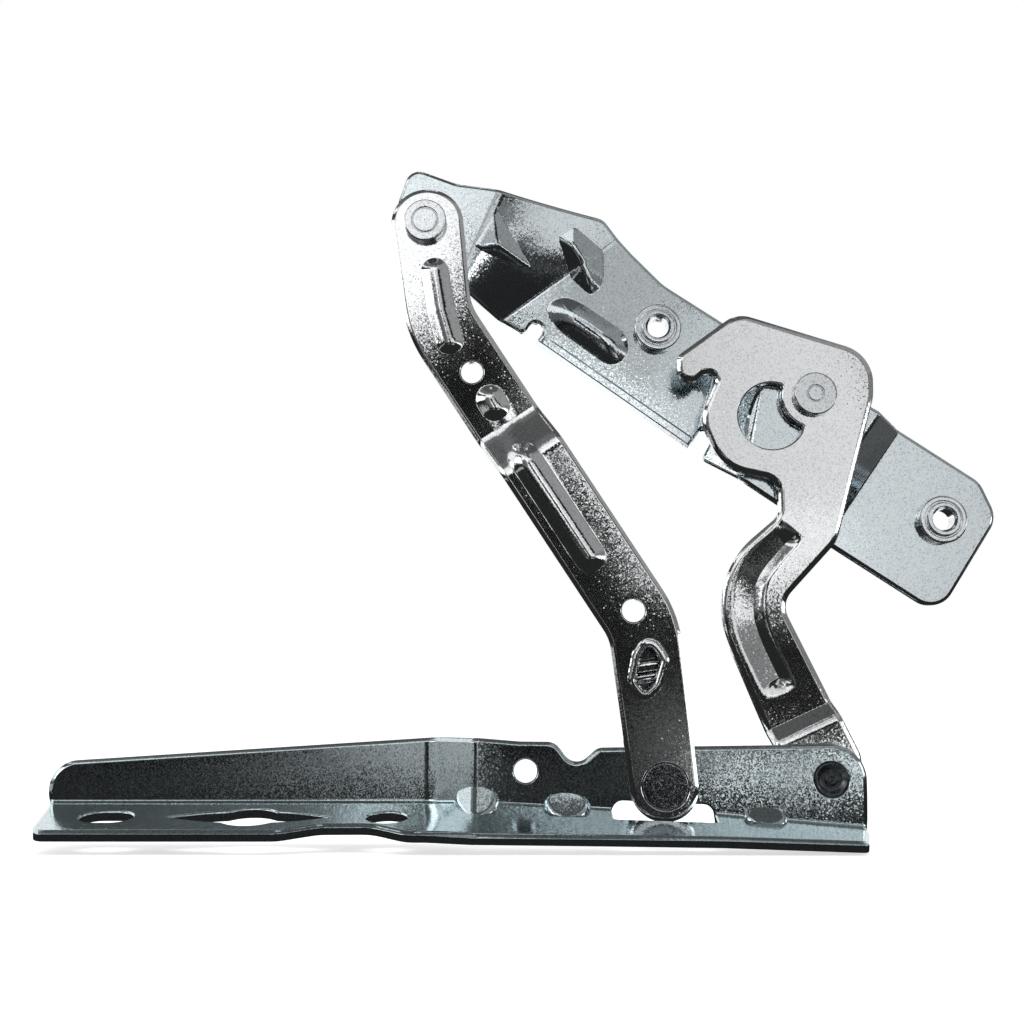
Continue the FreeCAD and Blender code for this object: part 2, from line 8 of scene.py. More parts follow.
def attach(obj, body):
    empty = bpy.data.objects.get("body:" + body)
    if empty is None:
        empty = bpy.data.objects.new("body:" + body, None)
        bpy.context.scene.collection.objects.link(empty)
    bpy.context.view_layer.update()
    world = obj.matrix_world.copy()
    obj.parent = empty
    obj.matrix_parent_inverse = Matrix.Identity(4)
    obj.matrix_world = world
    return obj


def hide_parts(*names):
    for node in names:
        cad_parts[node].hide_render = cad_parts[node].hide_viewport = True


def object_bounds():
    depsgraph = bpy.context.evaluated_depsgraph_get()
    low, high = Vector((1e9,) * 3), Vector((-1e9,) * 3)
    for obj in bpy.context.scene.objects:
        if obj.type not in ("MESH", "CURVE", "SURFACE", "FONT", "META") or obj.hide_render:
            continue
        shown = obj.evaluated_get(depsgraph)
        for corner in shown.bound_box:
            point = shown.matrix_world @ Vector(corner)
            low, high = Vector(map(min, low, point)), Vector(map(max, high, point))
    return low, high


# Hood hinge, fully open. Lengths are in mm until a mesh is written, but the floor's and the lamps' are in
# metres throughout.
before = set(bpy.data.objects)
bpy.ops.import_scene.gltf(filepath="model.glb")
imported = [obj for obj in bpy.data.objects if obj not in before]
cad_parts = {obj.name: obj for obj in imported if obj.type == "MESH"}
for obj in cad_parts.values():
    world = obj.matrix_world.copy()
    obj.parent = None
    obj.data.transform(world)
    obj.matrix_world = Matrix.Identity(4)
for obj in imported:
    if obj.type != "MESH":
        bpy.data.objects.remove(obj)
cad_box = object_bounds()
MM = 0.001


# finishes

def shade(code):
    """An sRGB hex colour as linear red, green, blue and full cover."""
    parts = [int(code[i:i + 2], 16) / 255 for i in (1, 3, 5)]
    return [c / 12.92 if c <= 0.04045 else ((c + 0.055) / 1.055) ** 2.4 for c in parts] + [1.0]


def add(tree, kind, inputs=None, **settings):
    """Adds one node. An input gets its value, or the socket that feeds it."""
    made = tree.nodes.new(kind)
    for name, value in settings.items():
        setattr(made, name, value)
    for name, value in (inputs or {}).items():
        if isinstance(value, bpy.types.NodeSocket):
            tree.links.new(value, made.inputs[name])
        else:
            made.inputs[name].default_value = value
    return made


def maths(tree, operation, *values, kind="ShaderNodeMath"):
    """What a maths node gives for its values."""
    return add(tree, kind, dict(enumerate(values)), operation=operation).outputs[0]


def vector_maths(tree, operation, *values):
    return maths(tree, operation, *values, kind="ShaderNodeVectorMath")


def empty_tree(owner):
    owner.use_nodes = True
    owner.node_tree.nodes.clear()
    return owner.node_tree


def put(name, data):
    """A new object in the scene."""
    made = bpy.data.objects.new(name, data)
    bpy.context.scene.collection.objects.link(made)
    return made


CLOUD = 14.0  # mm, the size of the duller clouds in the plating
DARKER = 0.35  # the share of crystals that are darker than the light colour
NEARLY_FLAT = 0.76  # the share of crystals that lean by tilt alone; the rest lean up to stray


def plated_steel(name, light, dark, smooth, rough, grain, tilt, stray):
    """Zinc plate over steel. Each small crystal lies a little askew, and a few lie far askew, so that dark
    and bright reflections meet in a salt-and-pepper border. Broad clouds dull the plating in places. Real
    crystals are far smaller. They are drawn grain mm wide, about a dot of the picture, so that they show."""
    material = bpy.data.materials.new(name)
    tree = empty_tree(material)
    place = add(tree, "ShaderNodeTexCoord").outputs["Object"]
    crystals = add(tree, "ShaderNodeTexVoronoi", {"Vector": place, "Scale": 1 / (grain * MM)})
    clouds = add(tree, "ShaderNodeTexNoise", {"Vector": place, "Scale": 1 / (CLOUD * MM), "Detail": 3.0})
    chance = add(tree, "ShaderNodeTexWhiteNoise", {"Vector": crystals.outputs["Position"]},
                 noise_dimensions="3D").outputs["Value"]
    tone = add(tree, "ShaderNodeMapRange", {"Value": chance, "From Min": 0.0, "From Max": DARKER})
    colour = add(tree, "ShaderNodeMix", {"Factor": tone.outputs["Result"]}, data_type="RGBA")
    colour.inputs["A"].default_value = shade(dark)
    colour.inputs["B"].default_value = shade(light)
    haze = add(tree, "ShaderNodeMapRange", {"Value": clouds.outputs["Fac"], "From Min": 0.3, "From Max": 0.7,
                                            "To Min": smooth, "To Max": rough})
    askew = add(tree, "ShaderNodeMapRange", {"Value": chance, "From Min": NEARLY_FLAT, "From Max": 1.0,
                                             "To Min": tilt, "To Max": stray})
    random = vector_maths(tree, "SUBTRACT", crystals.outputs["Color"], (0.5, 0.5, 0.5))
    lean = add(tree, "ShaderNodeVectorMath", {0: random, "Scale": askew.outputs["Result"]}, operation="SCALE")
    square = add(tree, "ShaderNodeNewGeometry").outputs["Normal"]
    leaning = vector_maths(tree, "NORMALIZE", vector_maths(tree, "ADD", square, lean.outputs["Vector"]))
    metal = add(tree, "ShaderNodeBsdfPrincipled", {"Base Color": colour.outputs["Result"], "Metallic": 1.0,
                                                   "Roughness": haze.outputs["Result"], "Normal": leaning})
    add(tree, "ShaderNodeOutputMaterial", {"Surface": metal.outputs["BSDF"]})
    return material


# Zinc-plated deep-drawing steel, pressed cold: bright, with a fine salt-and-pepper grain.
link_zinc = plated_steel("zinc_plated_steel_pressed_bright", "#F2F4F5", "#CBD0D3", 0.07, 0.11,
                         0.33, 0.036, 0.10)
# The same plating, passivated blue: a cool, slightly duller sheet.
bracket_zinc = plated_steel("zinc_plated_steel_blue_passivated", "#E2EAED", "#B4C2C8", 0.07, 0.12,
                            0.33, 0.04, 0.10)
base_zinc = plated_steel("zinc_plated_steel_base_passivated", "#D6E2E5", "#A6B8BD", 0.07, 0.12,
                         0.33, 0.04, 0.10)
# Cold-headed steel rivets, plated: smoother, with a soft satin face.
rivet_zinc = plated_steel("zinc_plated_rivet_cold_headed", "#E4E7E9", "#B4BABE", 0.12, 0.18, 0.33, 0.05, 0.15)
# The front base rivet is spread flush into the link and stays dark and rough-grained.
rivet_flush = plated_steel("plated_rivet_spread_flush", "#A9AEB2", "#5E6367", 0.14, 0.20, 0.33, 0.14, 0.40)
# The rear base rivet is pressed into a dish and left dark.
rivet_dark = plated_steel("phosphated_rivet_cold_pressed", "#6C7174", "#2E3234", 0.24, 0.34, 0.33, 0.10, 0.30)
# Turned nuts with a bright plated collar.
nut_zinc = plated_steel("zinc_plated_nut_turned", "#ECF0F2", "#C4CACD", 0.09, 0.14, 0.40, 0.02, 0.20)
# Stamped washers, plated: greyer and more satin than the sheets.
washer_zinc = plated_steel("zinc_plated_washer_stamped", "#C4CACD", "#8E959A", 0.20, 0.30, 0.40, 0.04, 0.30)
# Sintered bronze bushes with a dull lining.
bush_bronze = plated_steel("sintered_bronze_bush_lined", "#8F7B5C", "#5D523F", 0.42, 0.55, 0.40, 0.06, 0.30)


# outlines

def rounded_loop(corners, step=0.8):
    """Points round a list of (u, v, radius) corners."""
    count = len(corners)
    arcs = []
    for i in range(count):
        at = np.array(corners[i][:2], float)
        radius = corners[i][2]
        back = np.array(corners[i - 1][:2], float) - at
        ahead = np.array(corners[(i + 1) % count][:2], float) - at
        back /= np.linalg.norm(back)
        ahead /= np.linalg.norm(ahead)
        half = 0.5 * math.acos(max(-1.0, min(1.0, float(back @ ahead))))
        if radius <= 0 or half > 1.56:
            arcs.append([at])
            continue
        middle = (back + ahead) / np.linalg.norm(back + ahead)
        centre = at + middle * radius / math.sin(half)
        start = at + back * radius / math.tan(half) - centre
        end = at + ahead * radius / math.tan(half) - centre
        first = math.atan2(start[1], start[0])
        sweep = (math.atan2(end[1], end[0]) - first + math.pi) % (2 * math.pi) - math.pi
        steps = max(3, math.ceil(abs(sweep) * radius / step), math.ceil(abs(sweep) / 0.3))
        turns = first + sweep * np.arange(steps + 1) / steps
        arcs.append([centre + radius * np.array([math.cos(t), math.sin(t)]) for t in turns])
    points = []
    for i in range(count):
        points += arcs[i]
        start = arcs[i][-1]
        end = arcs[(i + 1) % count][0]
        pieces = max(1, int(np.linalg.norm(end - start) / (1.4 * step)))
        points += [start + (end - start) * k / pieces for k in range(1, pieces)]
    kept = [p for i, p in enumerate(points) if np.linalg.norm(p - points[i - 1]) > 0.02]
    return np.array(kept)


def round_hole(centre, radius, step=0.6):
    steps = max(20, int(2 * math.pi * radius / step))
    turns = 2 * math.pi * np.arange(steps) / steps
    return np.array(centre) + radius * np.stack([np.cos(turns), np.sin(turns)], 1)


def line_ways(a, b):
    """A line's start, the direction along it and the direction to its left."""
    a = np.array(a, float)
    along = np.array(b, float) - a
    along /= np.linalg.norm(along)
    return a, along, np.array([-along[1], along[0]])


def slot_hole(a, b, radius):
    """A hole with round ends from a to b."""
    b = np.array(b, float)
    a, along, side = line_ways(a, b)
    corners = [a - along * radius + side * radius, b + along * radius + side * radius,
               b + along * radius - side * radius, a - along * radius - side * radius]
    return rounded_loop([(c[0], c[1], radius * 0.999) for c in corners])


def turned_area(loop):
    x, y = loop[:, 0], loop[:, 1]
    return 0.5 * float(np.sum(x * np.roll(y, -1) - np.roll(x, -1) * y))


def inward(loop):
    """For each point of a loop, the direction into the sheet, longer at a corner."""
    ahead = np.roll(loop, -1, 0) - loop
    ahead /= np.linalg.norm(ahead, axis=1)[:, None]
    left = np.stack([-ahead[:, 1], ahead[:, 0]], 1)
    before = np.roll(left, 1, 0)
    share = 1 + np.sum(left * before, 1)
    return (left + before) / np.maximum(share, 0.9)[:, None]


def inside(points, loop):
    """True for each point that lies within a loop."""
    found = np.zeros(len(points), bool)
    x, y = points[:, 0], points[:, 1]
    for (ax, ay), (bx, by) in zip(loop, np.roll(loop, -1, 0)):
        if ay == by:
            continue
        crosses = ((ay > y) != (by > y)) & (x < (bx - ax) * (y - ay) / (by - ay) + ax)
        found ^= crosses
    return found


def line_grid(lines_u, lines_v):
    """Points where the lines cross. Every other row is shifted, so that the triangles come out even."""
    u, v = np.meshgrid(lines_u, lines_v)
    u = u + 0.37 * np.gradient(lines_u)[None, :] * (np.arange(len(lines_v)) % 2)[:, None]
    return np.stack([u.ravel(), v.ravel()], 1)


def even_grid(loop, pitch):
    low, high = loop.min(0), loop.max(0)
    return line_grid(np.arange(low[0], high[0], pitch), np.arange(low[1], high[1], pitch * 0.87))


# pressed sheets

def square_to(surface, points):
    """The direction square to a surface, toward its front."""
    near = 0.04
    du = surface(points + [near, 0]) - surface(points - [near, 0])
    dv = surface(points + [0, near]) - surface(points - [0, near])
    out = np.cross(du, dv)
    return out / np.linalg.norm(out, axis=1)[:, None]


def fill_face(rims, grid):
    """Triangles that fill the flat face between rims: points, triangles, and the place of each rim point."""
    def within(points):
        found = inside(points, rims[0])
        for rim in rims[1:]:
            found &= ~inside(points, rim)
        return found
    grid = grid[within(grid)]
    edge_points = np.concatenate(rims)
    room = np.full(len(grid), 1e9)
    for start in range(0, len(edge_points), 200):
        gap = grid[:, None, :] - edge_points[None, start:start + 200, :]
        room = np.minimum(room, np.min(np.sum(gap * gap, 2), 1))
    # grid points closer than 0.35 mm to a rim would give slivers
    grid = grid[room > 0.12]
    links = []
    for rim in rims:
        at = len(links)
        links += [(at + i, at + (i + 1) % len(rim)) for i in range(len(rim))]
    flat = np.concatenate([edge_points, grid])
    found = delaunay_2d_cdt([tuple(p) for p in flat], links, [], 0, 1e-5)
    where = np.array([tuple(p) for p in found[0]])
    triangles = np.array([f for f in found[2] if len(f) == 3])
    triangles = triangles[within(where[triangles].mean(1))]
    place_of = {old: new for new, olds in enumerate(found[3]) for old in olds}
    return where, triangles, place_of


def edge_rings(reach, drop, burr):
    """From the front face over the cut edge to the back face: side, way in from the edge, depth below the
    face, and the facing, as a share square to the sheet and a share outward."""
    rings = [(1, reach * (1 - share), drop * share ** 1.5, (reach, 1.5 * drop * math.sqrt(share)))
             for share in (0.12, 0.3, 0.5, 0.75, 1.0)]
    rings.append((1, 0.0, drop * 1.2 ** 1.5, (0.0, 1.0)))
    for turn in (0.5 * math.pi, 0.25 * math.pi, 0.0):
        rings.append((-1, burr * (1 - math.sin(turn)), burr * (1 - math.cos(turn)),
                      (math.cos(turn), math.sin(turn))))
    return rings


def pressed_sheet(outer, holes, surface, thickness, grid, roll, burr=0.35, hole_roll=(0.5, 0.5)):
    """A sheet of even thickness over a mid surface. Cut edges roll over at the front, with a small back rim.
    roll is how far the front rounding reaches in from the edge, and how deep it goes. burr is the size of
    the rounding at the back."""
    loops = [outer if turned_area(outer) > 0 else outer[::-1]]
    loops += [h if turned_area(h) < 0 else h[::-1] for h in holes]
    rolls = [roll] + [hole_roll] * len(holes)
    into = [inward(loop) for loop in loops]
    rims = [loop + way * reach for loop, way, (reach, drop) in zip(loops, into, rolls)]
    where, triangles, place_of = fill_face(rims, grid)
    half = 0.5 * thickness
    centre = surface(where)
    out = square_to(surface, where)
    count = len(where)
    spots = [centre + out * half, centre - out * half]
    facing = [out, -out]
    faces = [tuple(t) for t in triangles] + [(c + count, b + count, a + count) for a, b, c in triangles]
    total = 2 * count
    at = 0
    for loop, way, (reach, drop) in zip(loops, into, rolls):
        size = len(loop)
        first = [place_of[at + i] for i in range(size)]
        strip = [first]
        for side, wide, deep, tilt in edge_rings(reach, drop, burr):
            tilt = np.array(tilt) / math.hypot(*tilt)
            p = loop + way * wide
            n = square_to(surface, p)
            beyond = surface(p - way * 0.05) - surface(p)
            beyond -= n * np.sum(beyond * n, 1)[:, None]
            beyond /= np.linalg.norm(beyond, axis=1)[:, None]
            spots.append(surface(p) + n * side * (half - deep))
            facing.append(n * side * tilt[0] + beyond * tilt[1])
            strip.append(list(range(total, total + size)))
            total += size
        strip.append([f + count for f in first])
        for a, b in zip(strip, strip[1:]):
            for i in range(size):
                j = (i + 1) % size
                faces.append((a[i], b[i], b[j], a[j]))
        at += size
    return np.concatenate(spots), faces, np.concatenate(facing)


def solid_mesh(name, parts):
    """One mesh object at the origin, in metres, from parts in mm: points, faces and directions."""
    spots = []
    faces = []
    facing = []
    for points, corners, ways in parts:
        used = sorted({i for face in corners for i in face})
        number = {old: new + len(spots) for new, old in enumerate(used)}
        spots += points[used].tolist()
        facing += ways[used].tolist()
        faces += [[number[i] for i in face] for face in corners]
    mesh = bpy.data.meshes.new(name)
    mesh.from_pydata((np.array(spots) * MM).tolist(), [], faces)
    mesh.shade_smooth()
    mesh.normals_split_custom_set_from_vertices(facing)
    return put(name, mesh)


def finish_piece(piece, material, body, nodes):
    """Gives a piece its finish, its body and the solids that it stands for."""
    piece.data.materials.clear()
    piece.data.materials.append(material)
    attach(piece, body)
    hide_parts(*nodes)


# shapes that are pressed into a sheet

def ramp(distance, soft):
    """Nothing before a fold and the distance after it, with a rounded start."""
    round_part = (distance + 0.5 * soft) ** 2 / (2 * soft)
    return np.where(distance < -0.5 * soft, 0.0, np.where(distance > 0.5 * soft, distance, round_part))


def soft_step(share):
    share = np.clip(share, 0, 1)
    return share * share * (3 - 2 * share)


def step_between(before, after, soft):
    """From 0 to 1 between two folds: before is the way past the first, after the way left to the second."""
    return (ramp(before, soft[0]) - ramp(-after, soft[1])) / (before + after)


def beyond_line(points, a, b):
    """How far each point lies beyond a line, toward the right of the drawing."""
    a, _, side = line_ways(a, b)
    return (points - a) @ (side if side[0] > 0 else -side)


def path_distance(points, path):
    """The distance to a path, its sign and the place along the path. The sign is positive to the right of a
    path that runs down."""
    best = np.full(len(points), 1e9)
    sign = np.ones(len(points))
    reach = np.zeros(len(points))
    length = 0.0
    for a, b in zip(path, path[1:]):
        a = np.array(a, float)
        run = np.array(b, float) - a
        share = np.clip((points - a) @ run / (run @ run), 0, 1)
        far = np.linalg.norm(points - a - share[:, None] * run, axis=1)
        side = run[0] * (points - a)[:, 1] - run[1] * (points - a)[:, 0]
        near = far < best
        sign = np.where(near, np.sign(side), sign)
        reach = np.where(near, length + share * np.linalg.norm(run), reach)
        best = np.where(near, far, best)
        length += np.linalg.norm(run)
    return best, sign, reach / length


def swell(points, path, half_width, height):
    """A long rounded bead along a path."""
    share = np.clip(path_distance(points, path)[0] / half_width, 0, 1)
    return height * 0.5 * (1 + np.cos(math.pi * share))


def smooth_path(path, pieces=8):
    """A path with points added so that it turns gently."""
    ends = [path[0]] + path + [path[-1]]
    made = []
    for a, b, c, d in zip(ends, ends[1:], ends[2:], ends[3:]):
        a, b, c, d = (np.array(p, float) for p in (a, b, c, d))
        for t in np.arange(pieces) / pieces:
            made.append(0.5 * (2 * b + (c - a) * t + (2 * a - 5 * b + 4 * c - d) * t ** 2
                               + (3 * b - 3 * c + d - a) * t ** 3))
    return made + [np.array(path[-1], float)]


def valley(points, path, left, right, depth):
    """A channel with flat sides of different widths that fades out at both ends."""
    far, sign, place = path_distance(points, path)
    share = 1 - far / np.where(sign > 0, right, left)
    ends = soft_step(np.minimum(place, 1 - place) / 0.10)
    return depth * ends * ramp(share, 0.16) * (1 - 0.1 * np.clip(share, 0, 1))


def roof(points, corners, crest, height, soft):
    """A raised field with flat flanks that rise from each side of an outline toward a crest point."""
    lowest = np.full(len(points), height)
    turn = 1 if turned_area(np.array(corners, float)) > 0 else -1
    for a, b in zip(corners, corners[1:] + corners[:1]):
        a = np.array(a, float)
        run = np.array(b, float) - a
        side = turn * np.array([-run[1], run[0]]) / np.linalg.norm(run)
        steep = max(0.5, height / float((np.array(crest) - a) @ side))
        rise = steep * ((points - a) @ side)
        blend = np.clip(1 - np.abs(lowest - rise) / soft, 0, 1)
        lowest = np.minimum(lowest, rise) - 0.25 * soft * blend ** 2
    return ramp(lowest, 0.4)


def upright(points, depth):
    """Points of a drawing in x and z, put at their depth."""
    return np.stack([points[:, 0], depth, points[:, 1]], 1)


# the pivots in x and z, and the holes' radii
front_base_pivot = (82.1, 8.9)
front_hood_pivot = (9.6, 183.4)
rear_base_pivot = (132.1, 10.6)
rear_hood_pivot = (131.8, 129.1)
bush_hole = 5.3
rivet_hole = 4.0
tooling_hole = 3.45
link_thickness = 4.0
hood_thickness = 3.0
hood_nuts = [(84.2, 153.9), (174.3, 91.1)]


# front link

front_outline = [(-3.0, 194.6, 11.2), (3.85, 147.4, 44), (66.0, 52.0, 14), (73.0, -1.5, 9.9)]
front_outline += [(92.9, -1.5, 9.9), (86.8, 59.6, 38), (23.9, 157.0, 18), (20.5, 194.6, 11.2)]
eyelid = [(77.6, 51.6, 2.2), (74.6, 47.4, 3.0), (73.0, 39.6, 2.2), (76.0, 35.6, 1.4), (79.4, 38.6, 4.0)]
eyelid += [(81.6, 45.8, 1.4), (80.6, 47.6, 0.9)]
eyelid_way = np.array([0.15, -0.989])
slot_loop = rounded_loop(eyelid, 0.4)
slot_path = [tuple(p) for p in slot_loop] + [tuple(slot_loop[0])]


def front_link_surface(points):
    """The link's middle: a joggle of 8 mm, two beads and a dome, and a raised rim round the slot."""
    way = (points - [27.5, 112.5]) @ np.array([0.55, -0.835])
    depth = 7.5 - 8.0 * step_between(way - 0.6, 12.6 - way, (5.0, 5.0))
    depth -= swell(points, [(12.6, 167.6), (14.6, 155.0), (17.4, 145.2)], 4.4, 2.0)
    depth -= swell(points, [(40.5, 107.0), (60.2, 76.8)], 4.9, 2.0)
    depth -= swell(points, [(30.2, 126.7), (31.6, 124.3)], 4.6, 2.0)
    depth -= swell(points, [(31.0, 125.2), (60.2, 76.8)], 4.9, 0.25)
    depth -= 0.6 * np.exp(-((path_distance(points, slot_path)[0] - 0.5) / 0.7) ** 2)
    return upright(points, depth)


def slot_floor(points):
    """The floor of the slot: set back, with a ledge and a groove across it."""
    down = (points - [77.6, 49.0]) @ eyelid_way
    depth = 1.6 - 1.2 * step_between(down - 6.4, 7.6 - down, (0.4, 0.4))
    depth += 1.2 * step_between(down - 8.2, 9.4 - down, (0.8, 0.8))
    depth += 0.3 * np.exp(-((down - 3.6) / 0.5) ** 2)
    return upright(points, depth)


front_edge = rounded_loop(front_outline)
front_holes = [round_hole((24.4, 135.3), tooling_hole), round_hole((73.2, 60.6), tooling_hole), slot_loop]
front_holes += [round_hole(front_hood_pivot, bush_hole), round_hole(front_base_pivot, 6.86)]
floor_edge = rounded_loop([(72.6, 53.6, 1), (70.6, 34.0, 1), (81.0, 33.0, 1), (84.4, 52.0, 1)], 0.5)
front_link = solid_mesh("front_link_plate", [
    pressed_sheet(front_edge, front_holes, front_link_surface, link_thickness, even_grid(front_edge, 0.6),
                  (1.5, 0.75)),
    pressed_sheet(floor_edge, [], slot_floor, 0.8, even_grid(floor_edge, 0.3), (0.2, 0.2), 0.2)])
finish_piece(front_link, link_zinc, "front_link", ["front_link"])


# rear link

rear_outline = [(89.0, 141.8, 3.0), (108.2, 155.8, 9), (150.9, 142.4, 12), (150.6, 128.6, 14)]
rear_outline += [(137.8, 82.9, 11), (120.0, 63.7, 7), (142.2, 17.6, 6), (143.0, 3.0, 8), (124.6, -0.4, 8)]
rear_outline += [(95.7, 70.6, 29), (120.1, 91.2, 6), (120.1, 102.2, 5.5), (102.6, 106.0, 14)]
rear_outline += [(96.0, 122.0, 11), (102.8, 137.3, 2.4), (97.3, 136.0, 1.6), (94.6, 133.8, 1.6)]
rear_outline += [(89.3, 133.8, 3.8)]
neck_path = [(125.9, 86.1), (122.0, 82.0), (117.2, 76.7), (114.0, 72.3), (112.3, 68.0), (111.8, 63.3)]
neck_path += [(112.1, 58.7), (113.6, 53.4), (115.9, 47.9), (118.5, 42.3), (121.4, 36.2)]
neck_path = smooth_path(neck_path)


def rear_link_surface(points):
    """The link's middle: a step of 4 mm near its lower end, and the channel along its neck."""
    way = (points - [115.2, 25.0]) @ np.array([0.416, -0.909])
    depth = 12.7 - 4.0 * step_between(way - 0.77, 5.17 - way, (1.6, 1.6))
    depth += valley(points, neck_path, 7.4, 3.4, 2.2)
    return upright(points, depth)


def crescent_window(centre, radius, eye, eye_radius):
    """A round window that keeps clear of the pivot eye."""
    outer = round_hole(centre, radius, 0.5)
    eye_edge = round_hole(eye, eye_radius, 0.5)
    outer_far = np.linalg.norm(outer - eye, axis=1) > eye_radius + 0.3
    eye_near = np.linalg.norm(eye_edge - centre, axis=1) < radius - 0.3
    start = int(np.argmax(outer_far & ~np.roll(outer_far, 1)))
    outer = np.roll(outer, -start, 0)[:outer_far.sum()]
    start = int(np.argmax(eye_near & ~np.roll(eye_near, 1)))
    eye_edge = np.roll(eye_edge, -start, 0)[:eye_near.sum()]
    return np.concatenate([outer, eye_edge[::-1]])


rear_edge = rounded_loop(rear_outline)
rear_holes = [crescent_window((118.5, 122.5), 10.6, rear_hood_pivot, 10.2)]
rear_holes += [round_hole(rear_hood_pivot, bush_hole), round_hole(rear_base_pivot, 5.95)]
rear_link = solid_mesh("rear_link_plate", [
    pressed_sheet(rear_edge, rear_holes, rear_link_surface, link_thickness, even_grid(rear_edge, 0.6),
                  (1.8, 0.9))])
finish_piece(rear_link, link_zinc, "rear_link", ["rear_link"])


# hood bracket

lip_start = np.array([46.7, 151.4])
lip_end = np.array([95.0, 117.0])
lip_length = np.linalg.norm(lip_end - lip_start)
lip_along = (lip_end - lip_start) / lip_length
lip_out = np.array([lip_along[1], -lip_along[0]])
lip_bend = 2.0
lip_early = 0.5  # the bend starts this far before the lip's line
lip_reach = -lip_early + lip_bend * 0.5 * math.pi + 5.5

hood_outline = [(-0.6, 176.8, 8), (0.4, 192.0, 12), (4.4, 203.7, 4.5), (19.0, 198.2, 14), (32.0, 196.4, 10)]
hood_outline += [(66.6, 190.6, 5), (76.0, 179.8, 12), (86.5, 169.0, 20), (151.8, 125.9, 6)]
hood_outline += [(161.0, 121.2, 9), (187.5, 103.6, 8), (192.6, 92.0, 8), (172.6, 60.9, 8)]
hood_outline += [(141.0, 81.6, 10), (117.0, 97.6, 10), (98.0, 110.6, 1.8), (103.0, 119.4, 2.2)]
hood_outline += [(98.0, 121.0, 1.2), tuple(lip_end + lip_along * 0.3) + (0.3,)]
hood_outline += [tuple(end + lip_out * lip_reach) + (1.2,) for end in (lip_end, lip_start)]
hood_outline += [tuple(lip_start - lip_along * 0.3) + (0.3,), (49.4, 166.5, 2.4), (40.7, 152.4, 2.2)]

# each fold pair: first line, second line, how far the sheet steps back, sideways shift and rounding
hood_folds = [((40.4, 215.0), (14.4, 153.0), (100.0, 204.4), (15.0, 145.5), 14.5, 0.45, (3.0, 2.4))]
hood_folds += [((112.9, 172.0), (90.4, 91.2), (124.4, 168.0), (106.6, 88.0), -9.3, -0.45, (2.6, 2.6))]
hood_folds += [((169.7, 149.5), (116.8, 73.8), (177.2, 144.2), (124.3, 68.5), 9.3, 0.65, (1.6, 2.2))]

# fields raised from the sheet: outline, crest point, height, and softness of the ridges
hood_fields = [
    ([(52.0, 184.0), (56.5, 171.7), (62.4, 166.0), (65.0, 167.2), (66.4, 170.5), (66.4, 180.7),
      (57.0, 187.2)], (60.0, 175.5), 3.4, 0.5),
    ([(31.1, 189.3), (24.8, 177.5), (42.4, 173.7)], (32.6, 178.2), 2.8, 0.5),
    ([(51.3, 164.6), (56.5, 164.6), (74.1, 152.2), (74.6, 144.8), (68.8, 141.8), (50.3, 155.5),
      (48.0, 161.9)], (60.6, 155.2), 3.2, 1.6)]


def hood_depth(points):
    """The bracket's middle before its lip is turned up."""
    depth = np.full(len(points), 12.0)
    for a, b, c, d, rise, shift, soft in hood_folds:
        before = beyond_line(points, a, b) - shift
        after = shift - beyond_line(points, c, d)
        depth += rise * step_between(before, after, soft)
    for corners, crest, height, ridge in hood_fields:
        depth -= roof(points, corners, crest, height, ridge)
    return depth


def hood_surface(points):
    """The bracket's middle with its lip bent toward the front."""
    depth = hood_depth(points)
    out = (points - lip_start) @ lip_out
    along = (points - lip_start) @ lip_along
    turn = np.clip((out + lip_early) / lip_bend, 0, 0.5 * math.pi)
    beyond = np.maximum(out + lip_early - lip_bend * 0.5 * math.pi, 0)
    lateral = -lip_early + lip_bend * np.sin(turn)
    lipped = (out > -lip_early) & (along > -0.6) & (along < lip_length + 0.6)
    shift = np.where(lipped, lateral - out, 0)
    rise = np.where(lipped, lip_bend * (1 - np.cos(turn)) + beyond, 0)
    moved = points + shift[:, None] * lip_out
    return upright(moved, depth - rise)


hood_edge = rounded_loop(hood_outline)
hood_holes = [round_hole(centre, 5.6) for centre in hood_nuts]
hood_holes += [round_hole(centre, rivet_hole) for centre in (front_hood_pivot, rear_hood_pivot)]
hood_bracket = solid_mesh("hood_bracket_plate", [
    pressed_sheet(hood_edge, hood_holes, hood_surface, hood_thickness, even_grid(hood_edge, 0.66),
                  (1.1, 0.6))])
finish_piece(hood_bracket, bracket_zinc, "hood_bracket", ["hood_bracket"])


# base bracket

base_thickness = 3.2
base_bend = 1.0
middle_bend = base_bend + 0.5 * base_thickness
flange_front = -15.5
# heights of the bend's corner and of the flange's front edge, at places along the bracket
stations = [-112.0, 12.0, 25.3, 26.6, 66.6, 97.5, 146.0]
corner_heights = [3.2, 3.2, 4.3, 4.2, 1.9, 0.4, -3.8]
edge_heights = [-3.1, -3.1, -3.9, -3.9, -4.3, -4.7, -6.2]
# place, half width and leg of the stiffeners across the bend
stiffeners = [(26.5, 5.95, 4.3), (53.2, 6.2, 4.0), (112.0, 5.95, 3.3)]
middle_leg = 0.94  # how much longer a leg is on the sheet's middle than on its front face


def base_line(x):
    """Along the bracket: the web's front face, the height of the bend's centre, and the flange's slope."""
    front = 16.0 - 13.5 * step_between(x - 12.67, 25.97 - x, (6.0, 1.6))
    corner = np.interp(x, stations, corner_heights)
    slope = (corner - np.interp(x, stations, edge_heights)) / (front - flange_front)
    centre = corner - slope * base_bend + base_bend * np.sqrt(1 + slope * slope)
    return front, centre, slope


def web_place(points):
    """A point of the web's drawing in x and z, on the flattened sheet."""
    return np.stack([points[:, 0], points[:, 1] - base_line(points[:, 0])[1]], 1)


